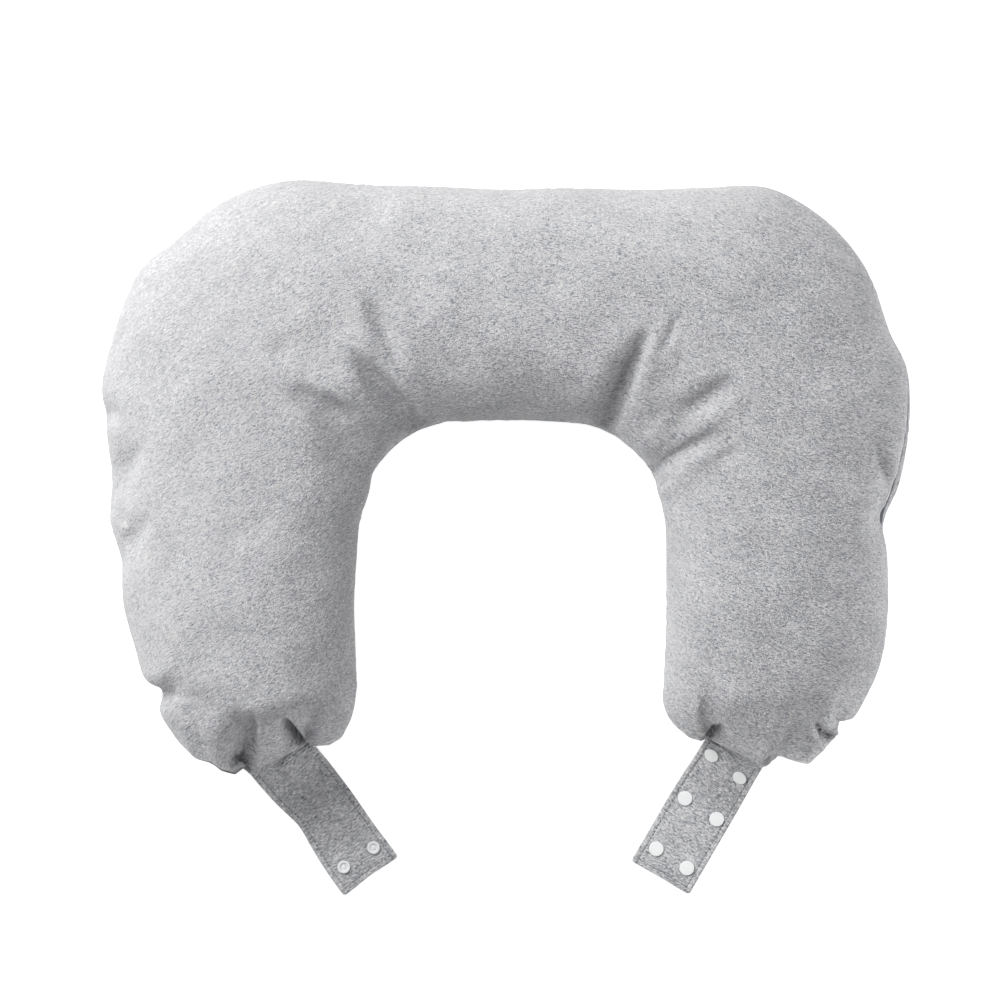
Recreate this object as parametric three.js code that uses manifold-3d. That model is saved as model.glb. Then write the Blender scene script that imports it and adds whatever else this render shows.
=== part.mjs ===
// Inflatable nursing pillow: a U-shaped, air-filled cushion in a knit cover, lying face up, with two
// snap straps sewn into the seams at the ends of its arms.
// Millimetres, +Z up. The origin is on the surface under the middle of the whole part. Seen from
// above the arms point to -Y, and the straps lie beyond them.

import * as THREE from 'three';
import { mergeVertices } from 'three/addons/utils/BufferGeometryUtils.js';
import Module from 'manifold-3d';

// Cloth sizes
const SEAM_HEIGHT = 5;
const STRAP_THICKNESS = 2.4;
const STRAP_CORNER = 3;
const STRAP_TUCK = 9;
const POCKET_END = 16;
const CLEARANCE = 0.3;

// Roundness of the cushion: a power of 2 is an ellipse, more is boxier
const TOP_ROUNDNESS = 2.3;
const UNDERSIDE_ROUNDNESS = 2.5;
const UNDERSIDE_FLATTENING = 1.16;

// How far from an arm's end its shape still counts
const END_REACH = 95;
const LOBE_ROUNDING = 54;
const TONGUE_LENGTH = 46;
const TONGUE_ROUNDNESS = 2.5;
const PINCH_SOFTNESS = 0.05;
const PINCH_SPREAD = 0.35;

// Beyond this place across the arm, the rim belongs to the very end alone where an end has an ear
const EAR_START = 0.8;

// Folds: the low lip along each side, as a share of the depth, how soon along its path a fold is
// full grown, and how close to the edge of the cover it draws the outline in
const FOLD_LIP = 0.25;
const FOLD_GROWN = 0.7;
const PULL_FALLOFF = 6;

// Mesh steps
const STEPS_ACROSS = 22;
const RING_SPACING = 19;
const EDGE_CROWDING = 0.6;
const END_STOPS = [0, 0.2, 0.45, 0.7];
const FOLD_STEPS = 10;
const STRAP_STEPS_ALONG = 22;
const STRAP_STEPS_ACROSS = 6;
const STRAP_CORNER_STEPS = 3;
const SNAP_SIDES = 16;

// Sections across the U, from the end of the left arm round to the end of the right arm. Each runs
// from the waist edge to the outer edge. crown is the height of its top, seam that of its edges.
const SECTIONS = [
  { inner: [-137, -167], outer: [-278, -168], crown: 118, seam: 56 },
  { inner: [-129, -149], outer: [-291, -145], crown: 131, seam: 61 },
  { inner: [-126, -136], outer: [-290, -132], crown: 137, seam: 64 },
  { inner: [-125, -127], outer: [-291, -125], crown: 140, seam: 65 },
  { inner: [-125, -117], outer: [-303, -117], crown: 142, seam: 66 },
  { inner: [-126, -88], outer: [-312, -91], crown: 147, seam: 69 },
  { inner: [-127, -55], outer: [-321, -58], crown: 150, seam: 70 },
  { inner: [-125, -17], outer: [-324, -20], crown: 150, seam: 71 },
  { inner: [-122, 16], outer: [-331, 12], crown: 149, seam: 72 },
  { inner: [-115, 38], outer: [-333, 74], crown: 149, seam: 72 },
  { inner: [-111, 56], outer: [-340, 127], crown: 150, seam: 72 },
  { inner: [-100, 71], outer: [-331, 168], crown: 151, seam: 72 },
  { inner: [-87, 83], outer: [-320, 202], crown: 152, seam: 72 },
  { inner: [-74, 91], outer: [-306, 229], crown: 152, seam: 72 },
  { inner: [-60, 96], outer: [-280, 250], crown: 151, seam: 72 },
  { inner: [-48, 99], outer: [-237, 285], crown: 150, seam: 71 },
  { inner: [-36, 99], outer: [-185, 302], crown: 149, seam: 71 },
  { inner: [-17, 100], outer: [-120, 299], crown: 148, seam: 71 },
  { inner: [2, 100], outer: [-55, 297], crown: 147, seam: 71 },
  { inner: [21, 100], outer: [0, 295], crown: 147, seam: 71 },
  { inner: [39, 99], outer: [54, 296], crown: 147, seam: 71 },
  { inner: [55, 98], outer: [114, 295], crown: 148, seam: 71 },
  { inner: [70, 96], outer: [164, 296], crown: 149, seam: 71 },
  { inner: [86, 90], outer: [222, 296], crown: 150, seam: 71 },
  { inner: [99, 82], outer: [274, 265], crown: 151, seam: 72 },
  { inner: [112, 70], outer: [305, 226], crown: 151, seam: 72 },
  { inner: [123, 56], outer: [324, 174], crown: 151, seam: 72 },
  { inner: [129, 37], outer: [338, 144], crown: 150, seam: 72 },
  { inner: [134, 15], outer: [340, 97], crown: 149, seam: 72 },
  { inner: [135, -13], outer: [332, 45], crown: 149, seam: 72 },
  { inner: [135, -40], outer: [321, 14], crown: 149, seam: 71 },
  { inner: [135, -66], outer: [322, -24], crown: 149, seam: 70 },
  { inner: [134, -95], outer: [322, -62], crown: 147, seam: 69 },
  { inner: [133, -119], outer: [316, -103], crown: 143, seam: 67 },
  { inner: [132, -136], outer: [303, -134], crown: 138, seam: 64 },
  { inner: [136, -148], outer: [292, -151], crown: 129, seam: 61 },
  { inner: [139, -153], outer: [283, -152], crown: 125, seam: 59 },
  { inner: [142, -157], outer: [280, -166], crown: 120, seam: 57 },
];
const LAST_STOP = SECTIONS.length - 1;

// The edge at each arm's end. rim says how far it hangs below the straight line of the end section,
// and slit is the stretch that is pinched flat and holds the strap, with the height of its two ends.
// ear says how sharply the corner at the outer edge stands off from the arm's side.
const ARM_ENDS = [
  {
    stop: 0,
    ear: 0,
    slit: { from: 0.19, to: 0.56, innerHeight: 36, outerHeight: 40 },
    rim: [
      { across: 0, out: 0 },
      { across: 0.07, out: 5.5 },
      { across: 0.16, out: 5.5 },
      { across: 0.19, out: 1 },
      { across: 0.38, out: 17 },
      { across: 0.56, out: 32 },
      { across: 0.6, out: 24 },
      { across: 0.64, out: 31 },
      { across: 0.73, out: 27.5 },
      { across: 0.79, out: 20.5 },
      { across: 0.89, out: 17 },
      { across: 1, out: 0 },
    ],
  },
  {
    stop: LAST_STOP,
    ear: 8,
    slit: { from: 0.19, to: 0.55, innerHeight: 34.5, outerHeight: 41.5 },
    rim: [
      { across: 0, out: 0 },
      { across: 0.09, out: 9.5 },
      { across: 0.17, out: 11 },
      { across: 0.19, out: 6 },
      { across: 0.37, out: 18.5 },
      { across: 0.55, out: 30.5 },
      { across: 0.59, out: 26 },
      { across: 0.615, out: 19.5 },
      { across: 0.65, out: 18.7 },
      { across: 0.76, out: 22.9 },
      { across: 0.83, out: 24.5 },
      { across: 0.92, out: 12.5 },
      { across: 1, out: 0 },
    ],
  },
];

// Main folds of the top, each a trough along a curve of three points. It deepens towards its last
// point, where it also draws the edge in by pull. A fold that is open fades out at both ends.
const FOLDS = [
  { path: [[-115, 201], [-103, 181], [-90, 146]], depth: 5, width: 10, pull: 0, open: true },
  { path: [[-129, 164], [-110, 131], [-78, 101]], depth: 11, width: 11, pull: 0, open: false },
  { path: [[-177, 127], [-155, 116], [-126, 97]], depth: 7, width: 11, pull: 0, open: true },
  { path: [[-196, 168], [-187, 158], [-176, 148]], depth: 4, width: 12, pull: 0, open: true },
  { path: [[123, 181], [105, 153], [85, 101]], depth: 11, width: 11, pull: 0, open: false },
  { path: [[189, 139], [160, 117], [129, 94]], depth: 7, width: 10, pull: 0, open: true },
  { path: [[181, 94], [155, 85], [124, 61]], depth: 9, width: 10, pull: 0, open: false },
  { path: [[-309, 80], [-317, 62], [-324, 48]], depth: 6, width: 13, pull: 1, open: false },
  { path: [[-309, 10], [-312, -4], [-322, -16]], depth: 8, width: 12, pull: 1.5, open: false },
  { path: [[-316, 112], [-326, 108], [-336, 108]], depth: 4, width: 10, pull: 2, open: false },
  { path: [[-265, -120], [-278, -125], [-291, -128]], depth: 8, width: 8, pull: 1, open: false },
  { path: [[316, 83], [321, 42], [318, 13]], depth: 9, width: 12, pull: 3, open: false },
  { path: [[261, -157], [271, -162], [280, -170]], depth: 9, width: 8, pull: 0, open: false },
  { path: [[266, -143], [275, -150], [283, -153]], depth: 4, width: 7, pull: 0, open: false },
  { path: [[-218, -140], [-224, -166], [-218, -194]], depth: 12, width: 11, pull: 0, open: false },
  { path: [[-190, -148], [-180, -160], [-168, -170]], depth: 9, width: 9, pull: 0, open: false },
  { path: [[187, -153], [178, -160], [171, -169]], depth: 6, width: 8, pull: 0, open: false },
  { path: [[234, -170], [230, -180], [225, -189]], depth: 8, width: 8, pull: 0, open: false },
];

// Straps. root is the middle of the sewn seam and away the way the strap runs, seen from above.
// A profile row gives the strap's height, lean (outer edge above inner edge), width and sideways
// shift at a distance from the seam.
const STRAPS = {
  left: {
    root: [-189.4, -183.5],
    away: [0.588, -0.809],
    outerSide: -1,
    length: 127,
    profile: [
      { along: -30, height: 60, lean: 4, width: 58.5, shift: 0.5 },
      { along: 0, height: 38, lean: 4, width: 58.5, shift: 0.2 },
      { along: 14, height: 27, lean: 3, width: 58, shift: -0.3 },
      { along: 28, height: 15.5, lean: 2, width: 57.5, shift: -1.2 },
      { along: 42, height: 7, lean: 0.5, width: 55.5, shift: -2.4 },
      { along: 57, height: 3, lean: 0, width: 53.5, shift: -3.6 },
      { along: 75, height: 1.8, lean: 0, width: 55, shift: -2.5 },
      { along: 95, height: 2.6, lean: 0, width: 56.3, shift: -1.5 },
      { along: 107, height: 3.1, lean: 0, width: 57, shift: -1.4 },
      { along: 127, height: 1.6, lean: 0, width: 57.2, shift: -1.5 },
    ],
  },
  right: {
    root: [193.2, -179.3],
    away: [-0.504, -0.864],
    outerSide: 1,
    length: 124,
    profile: [
      { along: -30, height: 62, lean: 9, width: 54, shift: 0.2 },
      { along: 0, height: 38, lean: 8, width: 54, shift: 0.2 },
      { along: 14, height: 27, lean: 6, width: 54.5, shift: 0.2 },
      { along: 28, height: 15.5, lean: 3.5, width: 55.5, shift: 0.2 },
      { along: 42, height: 7.6, lean: 1, width: 56.5, shift: 0.1 },
      { along: 56, height: 4.4, lean: 0, width: 57, shift: 0 },
      { along: 80, height: 2.8, lean: 0, width: 57, shift: 0 },
      { along: 105, height: 4.3, lean: 0, width: 57, shift: 0 },
      { along: 124, height: 2, lean: 0, width: 57.2, shift: 0 },
    ],
  },
};

// Snaps: where each one sits on its strap, along from the seam and aside towards the outer edge
const SOCKET_PLACES = [
  { along: 106.7, aside: 13.9 },
  { along: 108.1, aside: -16 },
];
const CAP_PLACES = [
  { along: 11.4, aside: -15 },
  { along: 15.6, aside: 15 },
  { along: 54.9, aside: -15.5 },
  { along: 56.7, aside: 16.5 },
  { along: 104.3, aside: -15 },
  { along: 105.3, aside: 15.5 },
];
const CAP = { radius: 6.2, rimHeight: 0.7, height: 1.5, dome: 0.15, edge: 0.9 };
const POST = { radius: 1.4, headRadius: 2.3, headTop: 1.4, headHeight: 0.6 };
const SOCKET = { radius: 5.3, height: 2.3, recessRadius: 3.5, floor: 0.9, edge: 0.7, lip: 0.45 };
const STUD = { radius: 5.2, base: 0.9, nubRadius: 3.1, undercut: 0.2, height: 2.5, edge: 0.5 };

// The snap halves press this far into each face of the cloth between them
const SNAP_PRESS = 0.5;
const PRESSED_FACE = STRAP_THICKNESS / 2 - SNAP_PRESS;
const CLOTH_FACE = PRESSED_FACE + CLEARANCE;
const STUD_FLOOR = 0.6;
const POST_HOLE = POST.radius + CLEARANCE;
const POST_END = CLOTH_FACE + STUD.height - STUD_FLOOR - CLEARANCE;

const CLOTH = new THREE.MeshStandardMaterial({ color: 0xc2c3c6, roughness: 0.95, metalness: 0 });
const STRAP_CLOTH = new THREE.MeshStandardMaterial({ color: 0xa7a8ab, roughness: 0.95, metalness: 0 });
const SNAP_PLASTIC = new THREE.MeshStandardMaterial({ color: 0xf3f4f4, roughness: 0.35, metalness: 0 });

// Shared curves

function edgeCurve(side) {
  const points = SECTIONS.map((row) => new THREE.Vector3(...row[side], row.seam));
  return new THREE.CatmullRomCurve3(points, false, 'centripetal');
}

const innerEdge = edgeCurve('inner');
const outerEdge = edgeCurve('outer');
const foldCurves = FOLDS.map((fold) => foldPoints(fold.path));

function foldPoints(path) {
  const corners = path.map(([x, y]) => new THREE.Vector2(x, y));
  return new THREE.QuadraticBezierCurve(...corners).getPoints(FOLD_STEPS);
}

// Straight steps between the rows of a table
function lookUp(rows, key, at, column) {
  const next = rows.findIndex((row) => row[key] >= at);
  if (next <= 0) return rows[next === 0 ? 0 : rows.length - 1][column];
  const [a, b] = [rows[next - 1], rows[next]];
  return THREE.MathUtils.mapLinear(at, a[key], b[key], a[column], b[column]);
}

// A smooth curve through the rows of a table
function smoothLookUp(rows, key, at, column) {
  const next = THREE.MathUtils.clamp(rows.findIndex((row) => row[key] >= at), 1, rows.length - 1);
  const slopeAt = (i) => {
    const low = rows[Math.max(i - 1, 0)];
    const high = rows[Math.min(i + 1, rows.length - 1)];
    return (high[column] - low[column]) / (high[key] - low[key]);
  };
  const [a, b] = [rows[next - 1], rows[next]];
  const span = b[key] - a[key];
  const x = (at - a[key]) / span;
  const bend = x * (1 - x) * span;
  const rise = x * x * (3 - 2 * x);
  return a[column] + (b[column] - a[column]) * rise
    + bend * ((1 - x) * slopeAt(next - 1) - x * slopeAt(next));
}

// 1 at the middle of a bell-shaped hump or trough, near 0 at twice its width
function bell(x) {
  return Math.exp(-x * x);
}

function nearestOn(points, x, y) {
  let best = { distance: Infinity, along: 0 };
  for (let i = 0; i < points.length - 1; i++) {
    const [a, b] = [points[i], points[i + 1]];
    const [dx, dy] = [b.x - a.x, b.y - a.y];
    const along = THREE.MathUtils.clamp(
      ((x - a.x) * dx + (y - a.y) * dy) / (dx * dx + dy * dy), 0, 1);
    const distance = Math.hypot(x - a.x - along * dx, y - a.y - along * dy);
    if (distance < best.distance) best = { distance, along: (i + along) / (points.length - 1) };
  }
  return best;
}

// The filled cover

function onSameArm(end, stop) {
  return Math.abs(stop - end.stop) < LAST_STOP / 2;
}

// How near a stop is to an arm's end: 1 at the end, 0 at END_REACH and beyond
function nearness(end, stop) {
  const here = innerEdge.getPoint(stop / LAST_STOP).y;
  const there = innerEdge.getPoint(end.stop / LAST_STOP).y;
  return onSameArm(end, stop) ? Math.max(0, 1 - (here - there) / END_REACH) ** 2 : 0;
}

// How far a place lies behind the straight line of an arm's end
function behindEnd(end, stop, across) {
  const yAt = (edge, at) => edge.getPoint(at / LAST_STOP).y;
  const inner = yAt(innerEdge, stop) - yAt(innerEdge, end.stop);
  const outer = yAt(outerEdge, stop) - yAt(outerEdge, end.stop);
  return THREE.MathUtils.lerp(inner, outer, across);
}

// 1 on the stretch that is pinched to the strap, softening away from the end
function pinchAt(end, across, behind) {
  const { from, to } = end.slit;
  const away = Math.min(1, behind / TONGUE_LENGTH);
  const soft = PINCH_SOFTNESS + PINCH_SPREAD * away;
  const rise = THREE.MathUtils.smoothstep(across, from - soft * (0.25 + away), from + soft);
  const fall = THREE.MathUtils.smoothstep(across, to - soft / 2, to + soft);
  return rise - fall;
}

// Where a point of the cover lies seen from above, before the folds
function planPoint(stop, across) {
  const point = innerEdge.getPoint(stop / LAST_STOP);
  point.lerp(outerEdge.getPoint(stop / LAST_STOP), across);
  for (const end of ARM_ENDS) {
    const sharpness = 1 + end.ear * THREE.MathUtils.smoothstep(across, EAR_START, 1);
    point.y -= nearness(end, stop) ** sharpness * lookUp(end.rim, 'across', across, 'out');
  }
  return point;
}

// The height of the seam, which drops towards the straps
function seamHeight(stop, across, point) {
  let height = point.z;
  for (const end of ARM_ENDS) {
    const { from, to, innerHeight, outerHeight } = end.slit;
    const place = THREE.MathUtils.clamp((across - from) / (to - from), 0, 1);
    const slit = THREE.MathUtils.lerp(innerHeight, outerHeight, place);
    height += (slit - height) * nearness(end, stop) * pinchAt(end, across, 0);
  }
  return height;
}

// How full the cushion is, from 0 at an arm's end to 1 along the U: a lobe is round there, and the
// tongue between the lobes slopes down to the strap.
function endFullness(stop, across) {
  let full = 1;
  for (const end of ARM_ENDS) {
    if (!onSameArm(end, stop)) continue;
    const behind = Math.max(0, behindEnd(end, stop, across));
    const lobe = Math.min(1, behind / LOBE_ROUNDING);
    const tongue = Math.min(1, behind / TONGUE_LENGTH);
    const round = Math.sqrt(Math.max(0, 1 - (1 - lobe) ** TOP_ROUNDNESS));
    const slope = 1 - (1 - tongue) ** TONGUE_ROUNDNESS;
    full = THREE.MathUtils.lerp(round, slope, pinchAt(end, across, behind));
  }
  return full;
}

function crownAt(stop) {
  return smoothLookUp(SECTIONS.map((row, i) => ({ stop: i, crown: row.crown })), 'stop', stop, 'crown');
}

function bulge(across, roundness) {
  return Math.sqrt(Math.max(0, 1 - Math.abs(2 * across - 1) ** roundness));
}

// How far the folds lower the top and draw the outline in
function foldEffect(point, across) {
  const effect = { drop: 0, pull: 0 };
  const atEdge = Math.abs(2 * across - 1) ** PULL_FALLOFF;
  FOLDS.forEach((fold, i) => {
    const { distance, along } = nearestOn(foldCurves[i], point.x, point.y);
    const trough = bell(distance / fold.width) - FOLD_LIP * bell(distance / fold.width - 2);
    const grow = THREE.MathUtils.smoothstep(along, 0, FOLD_GROWN);
    const strength = fold.open ? Math.sin(Math.PI * along) : grow;
    effect.drop += fold.depth * trough * strength;
    effect.pull += fold.pull * bell(distance / fold.width) * grow * atEdge;
  });
  return effect;
}

function coverPoint(stop, across, onTop) {
  const point = planPoint(stop, across);
  const seam = seamHeight(stop, across, point);
  const full = endFullness(stop, across);
  const folds = foldEffect(point, across);
  const rounding = bulge(across, TOP_ROUNDNESS) * full;
  const top = seam + SEAM_HEIGHT / 2 + (crownAt(stop) - seam - SEAM_HEIGHT / 2) * rounding;
  const sag = Math.min(1, UNDERSIDE_FLATTENING * bulge(across, UNDERSIDE_ROUNDNESS) * full);
  const underside = (seam - SEAM_HEIGHT / 2) * (1 - sag);
  const height = onTop ? top - folds.drop * Math.min(1, 3 * rounding) : underside;
  const inward = planPoint(stop, 0.5).sub(point).setZ(0).normalize();
  return point.addScaledVector(inward, folds.pull).setZ(height);
}

// Where the rings of the cover's mesh lie: extra ones close to each arm's end, and between them
// about one for every RING_SPACING along the outer edge
function coverStops() {
  const stops = [...END_STOPS];
  for (let i = 1; i < LAST_STOP - 1; i++) {
    const [a, b] = [SECTIONS[i].outer, SECTIONS[i + 1].outer];
    const steps = Math.ceil(Math.hypot(b[0] - a[0], b[1] - a[1]) / RING_SPACING);
    for (let k = 0; k < steps; k++) stops.push(i + k / steps);
  }
  return [...stops, LAST_STOP - 1, ...END_STOPS.map((stop) => LAST_STOP - stop).reverse()];
}

// Steps across are closer together at the edges, where the cushion curves most. Near an arm's end
// they gather at the rows of its rim.
function acrossSteps(stop) {
  const steps = [];
  for (let i = 0; i <= STEPS_ACROSS; i++) {
    const even = i / STEPS_ACROSS;
    let across = THREE.MathUtils.lerp(even, (1 - Math.cos(Math.PI * even)) / 2, EDGE_CROWDING);
    for (const end of ARM_ENDS) {
      const rows = end.rim.map((row, k) => ({ even: k / (end.rim.length - 1), across: row.across }));
      const atRim = lookUp(rows, 'even', even, 'across');
      across = THREE.MathUtils.lerp(across, atRim, nearness(end, stop));
    }
    steps.push(across);
  }
  return steps;
}

// Joins rings of points into one closed body, each ring running over the top and back below
function skin(rings, half) {
  const size = rings[0].length;
  const faces = [];
  const quad = (a, b, c, d) => faces.push(a, b, c, a, c, d);
  for (let i = 0; i < rings.length - 1; i++) {
    for (let k = 0; k < size; k++) {
      const next = (k + 1) % size;
      quad(i * size + k, (i + 1) * size + k, (i + 1) * size + next, i * size + next);
    }
  }
  const last = (rings.length - 1) * size;
  for (let k = 0; k < half; k++) {
    const below = size - 1 - k;
    quad(k, k + 1, below - 1, below);
    quad(last + k + 1, last + k, last + below, last + below - 1);
  }
  const geometry = new THREE.BufferGeometry();
  const places = rings.flat().flatMap((point) => point.toArray());
  geometry.setAttribute('position', new THREE.Float32BufferAttribute(places, 3));
  geometry.setIndex(faces);
  return geometry;
}

function coverGeometry() {
  const rings = coverStops().map((stop) => {
    const across = acrossSteps(stop);
    const top = across.map((v) => coverPoint(stop, v, true));
    const underside = across.map((v) => coverPoint(stop, v, false)).reverse();
    return [...top, ...underside];
  });
  return skin(rings, STEPS_ACROSS);
}

// The straps

// A point of a strap's middle surface. aside runs from the centre line towards the outer edge.
function strapPoint(strap, along, aside) {
  const [awayX, awayY] = strap.away;
  const row = (column) => smoothLookUp(strap.profile, 'along', along, column);
  const sideways = (aside + row('shift')) * strap.outerSide;
  return new THREE.Vector3(
    strap.root[0] + awayX * along - awayY * sideways,
    strap.root[1] + awayY * along + awayX * sideways,
    row('height') + row('lean') * aside / row('width'),
  );
}

// The direction up out of a strap's face
function strapUp(strap, along, aside) {
  const step = 0.5;
  const ahead = strapPoint(strap, along + step, aside).sub(strapPoint(strap, along - step, aside));
  const outward = strapPoint(strap, along, aside + step).sub(strapPoint(strap, along, aside - step));
  return ahead.cross(outward).multiplyScalar(strap.outerSide).normalize();
}

// Half the strap's width, which the rounded corners narrow at its free end
function halfWidth(strap, along) {
  const half = smoothLookUp(strap.profile, 'along', along, 'width') / 2;
  const past = Math.max(0, along - (strap.length - STRAP_CORNER));
  return half - STRAP_CORNER + Math.sqrt(Math.max(0, STRAP_CORNER ** 2 - past ** 2));
}

// Even steps along a strap, and finer ones round the corners of its free end
function strapStops(strap, from, to) {
  const cornerStart = strap.length - STRAP_CORNER;
  const straightEnd = Math.min(to, cornerStart);
  const stops = [];
  for (let i = 0; i <= STRAP_STEPS_ALONG; i++) {
    stops.push(THREE.MathUtils.lerp(from, straightEnd, i / STRAP_STEPS_ALONG));
  }
  if (to > cornerStart) {
    for (let k = 1; k <= STRAP_CORNER_STEPS; k++) {
      stops.push(cornerStart + STRAP_CORNER * Math.sin(Math.PI / 2 * k / STRAP_CORNER_STEPS));
    }
  }
  return stops;
}

function strapGeometry(strap, from, to, grow) {
  const lift = STRAP_THICKNESS / 2 + grow;
  const rings = strapStops(strap, from, to).map((along) => {
    const half = (halfWidth(strap, along) + grow) * strap.outerSide;
    const face = [];
    for (let k = 0; k <= STRAP_STEPS_ACROSS; k++) {
      const aside = THREE.MathUtils.lerp(-half, half, k / STRAP_STEPS_ACROSS);
      face.push({ point: strapPoint(strap, along, aside), up: strapUp(strap, along, aside) });
    }
    const top = face.map(({ point, up }) => point.clone().addScaledVector(up, lift));
    const underside = face.map(({ point, up }) => point.clone().addScaledVector(up, -lift));
    return [...top, ...underside.reverse()];
  });
  return skin(rings, STRAP_STEPS_ACROSS);
}

// The snaps. Each half is turned about its own +Z, which is the strap's up, from the strap's middle.

function turned(profile) {
  const points = profile.map(([radius, height]) => new THREE.Vector2(radius, height));
  return new THREE.LatheGeometry(points, SNAP_SIDES).rotateX(Math.PI / 2);
}

// A flat cap with a soft edge, from its post outwards and back over the top
function capProfile() {
  const { radius, rimHeight, height, dome, edge } = CAP;
  return [
    [POST.radius, CLOTH_FACE],
    [radius, CLOTH_FACE],
    [radius, CLOTH_FACE + rimHeight],
    [radius - edge, CLOTH_FACE + height - dome],
    [0, CLOTH_FACE + height],
  ];
}

// A cap whose post goes down through the strap into the other half
function capGeometry(postEnd) {
  return turned([
    [0, -postEnd],
    [POST.radius, -postEnd],
    ...capProfile(),
  ]);
}

// The cap of a socket, whose post ends in the round head that shows in the socket's recess
function headedCapGeometry() {
  const headBase = CLOTH_FACE + SOCKET.floor + CLEARANCE;
  return turned([
    [0, -headBase - POST.headHeight],
    [POST.headTop, -headBase - POST.headHeight],
    [POST.headRadius, -headBase],
    [POST.radius, -headBase],
    ...capProfile(),
  ]);
}

// The open half that faces up, with a ring-shaped wall round its recess
function socketGeometry() {
  const { radius, height, recessRadius, floor, edge, lip } = SOCKET;
  const bore = POST.radius + CLEARANCE;
  return turned([
    [bore, CLOTH_FACE],
    [radius, CLOTH_FACE],
    [radius, CLOTH_FACE + height - edge],
    [radius - edge, CLOTH_FACE + height],
    [recessRadius + lip, CLOTH_FACE + height],
    [recessRadius, CLOTH_FACE + height - lip],
    [recessRadius, CLOTH_FACE + floor],
    [bore, CLOTH_FACE + floor],
    [bore, CLOTH_FACE],
  ]);
}

// The half under a cap: a thin disc with a nub that clicks into a socket
function studGeometry() {
  const { radius, base, nubRadius, undercut, height, edge } = STUD;
  const bore = POST.radius + CLEARANCE;
  return turned([
    [0, -CLOTH_FACE - height],
    [nubRadius - edge, -CLOTH_FACE - height],
    [nubRadius, -CLOTH_FACE - height + edge],
    [nubRadius - undercut, -CLOTH_FACE - base],
    [radius, -CLOTH_FACE - base],
    [radius, -CLOTH_FACE],
    [bore, -CLOTH_FACE],
    [bore, -POST_END - CLEARANCE],
    [0, -POST_END - CLEARANCE],
  ]);
}

// What a snap takes out of the strap: the hole for its post and the dent under each half
function dentGeometry() {
  const outside = 3 * STRAP_THICKNESS;
  const radius = CAP.radius + SNAP_PRESS;
  return turned([
    [0, -outside],
    [radius, -outside],
    [radius, -PRESSED_FACE],
    [POST_HOLE, -PRESSED_FACE],
    [POST_HOLE, PRESSED_FACE],
    [radius, PRESSED_FACE],
    [radius, outside],
    [0, outside],
  ]);
}

// Moves a snap half from its own axis to its place on the strap
function seated(geometry, strap, { along, aside }, upsideDown) {
  const up = strapUp(strap, along, aside);
  const axis = upsideDown ? up.clone().negate() : up;
  const turn = new THREE.Quaternion().setFromUnitVectors(new THREE.Vector3(0, 0, 1), axis);
  return geometry.applyQuaternion(turn).translate(...strapPoint(strap, along, aside));
}

// Joins and cuts

const wasm = await Module();
wasm.setup();

function solidOf(geometry) {
  const bare = new THREE.BufferGeometry();
  bare.setAttribute('position', geometry.getAttribute('position').clone());
  bare.setIndex(geometry.getIndex());
  const merged = mergeVertices(bare, 1e-3);
  return new wasm.Manifold(new wasm.Mesh({
    numProp: 3,
    vertProperties: merged.getAttribute('position').array,
    triVerts: Uint32Array.from(merged.getIndex().array),
  }));
}

function geometryOf(solid) {
  const { vertProperties, triVerts } = solid.getMesh();
  const geometry = new THREE.BufferGeometry();
  geometry.setAttribute('position', new THREE.BufferAttribute(vertProperties, 3));
  geometry.setIndex(new THREE.BufferAttribute(triVerts, 1));
  return geometry;
}

// The cover, with the pocket in each end seam that the strap's tucked end fills
function cutCover() {
  let cover = solidOf(coverGeometry());
  for (const strap of Object.values(STRAPS)) {
    const pocket = strapGeometry(strap, -STRAP_TUCK - CLEARANCE, POCKET_END, CLEARANCE);
    cover = cover.subtract(solidOf(pocket));
  }
  return geometryOf(cover);
}

// A strap with the holes and dents of its snaps
function pierced(strap, places) {
  let cloth = solidOf(strapGeometry(strap, -STRAP_TUCK, strap.length, 0));
  for (const place of places) {
    cloth = cloth.subtract(solidOf(seated(dentGeometry(), strap, place, false)));
  }
  return geometryOf(cloth);
}

// The whole pillow

const group = new THREE.Group();

function add(name, geometry, material) {
  const mesh = new THREE.Mesh(geometry, material);
  mesh.name = name;
  group.add(mesh);
}

add('cover', cutCover(), CLOTH);
add('strap_left', pierced(STRAPS.left, SOCKET_PLACES), STRAP_CLOTH);
add('strap_right', pierced(STRAPS.right, CAP_PLACES), STRAP_CLOTH);

SOCKET_PLACES.forEach((place, i) => {
  const number = i + 1;
  add(`socket_left_${number}`, seated(socketGeometry(), STRAPS.left, place, false), SNAP_PLASTIC);
  add(`cap_left_${number}`, seated(headedCapGeometry(), STRAPS.left, place, true), SNAP_PLASTIC);
});

CAP_PLACES.forEach((place, i) => {
  const number = i + 1;
  add(`cap_right_${number}`, seated(capGeometry(POST_END), STRAPS.right, place, false), SNAP_PLASTIC);
  add(`stud_right_${number}`, seated(studGeometry(), STRAPS.right, place, false), SNAP_PLASTIC);
});

export default group;
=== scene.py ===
# Inflatable nursing pillow: how each piece looks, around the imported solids.
# Sizes are in millimetres and turn into metres when a mesh is made. The frame is that of the
# solids: +Z up, the arms towards -Y, the origin on the floor under the middle of the whole part.

import math

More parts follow.
